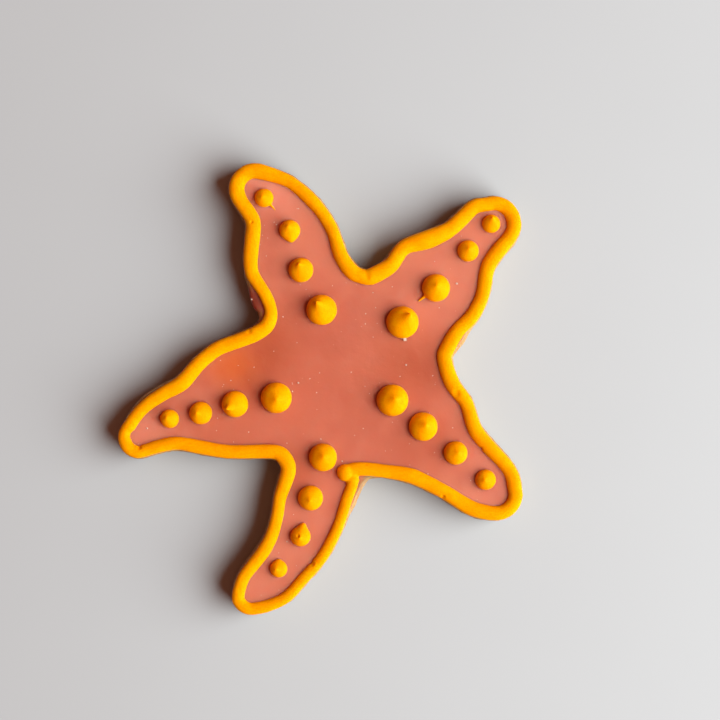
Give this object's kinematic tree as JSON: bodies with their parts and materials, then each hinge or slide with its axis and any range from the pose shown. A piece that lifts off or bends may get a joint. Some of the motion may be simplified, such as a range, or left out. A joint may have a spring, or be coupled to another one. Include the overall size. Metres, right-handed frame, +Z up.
{
  "type": "iced sugar cookie",
  "caption": "Starfish-shaped sugar cookie with a flat coat of coral icing, a golden piped outline along its wavy edge and golden piped dots down each arm.",
  "frame": {"origin": "under the middle of the cookie's outer box, on the flat underside it rests on", "axes": "+Z up through the iced top; +Y towards the two upper arms, +X towards the two right-hand arms, as seen from above"},
  "size_m": [0.0908, 0.1012, 0.0113],
  "materials": {
    "baked_dough": "dry, fine-crumbed pale golden biscuit, browned towards the rim and the underside",
    "coral_icing": "set flood icing, smooth, satin and faintly translucent",
    "golden_icing": "set piping icing, smooth, satin, with a fine grain and small pits"
  },
  "bodies": {
    "root": {"cookie": "baked_dough", "icing": "coral_icing", "piped_outline": "golden_icing", "dot_lower_right_1": "golden_icing", "dot_lower_right_2": "golden_icing", "dot_lower_right_3": "golden_icing", "dot_lower_right_4": "golden_icing", "dot_upper_right_1": "golden_icing", "dot_upper_right_2": "golden_icing", "dot_upper_right_3": "golden_icing", "dot_upper_right_4": "golden_icing", "dot_upper_left_1": "golden_icing", "dot_upper_left_2": "golden_icing", "dot_upper_left_3": "golden_icing", "dot_upper_left_4": "golden_icing", "dot_left_1": "golden_icing", "dot_left_2": "golden_icing", "dot_left_3": "golden_icing", "dot_left_4": "golden_icing", "dot_lower_1": "golden_icing", "dot_lower_2": "golden_icing", "dot_lower_3": "golden_icing", "dot_lower_4": "golden_icing"}
  },
  "joints": []
}
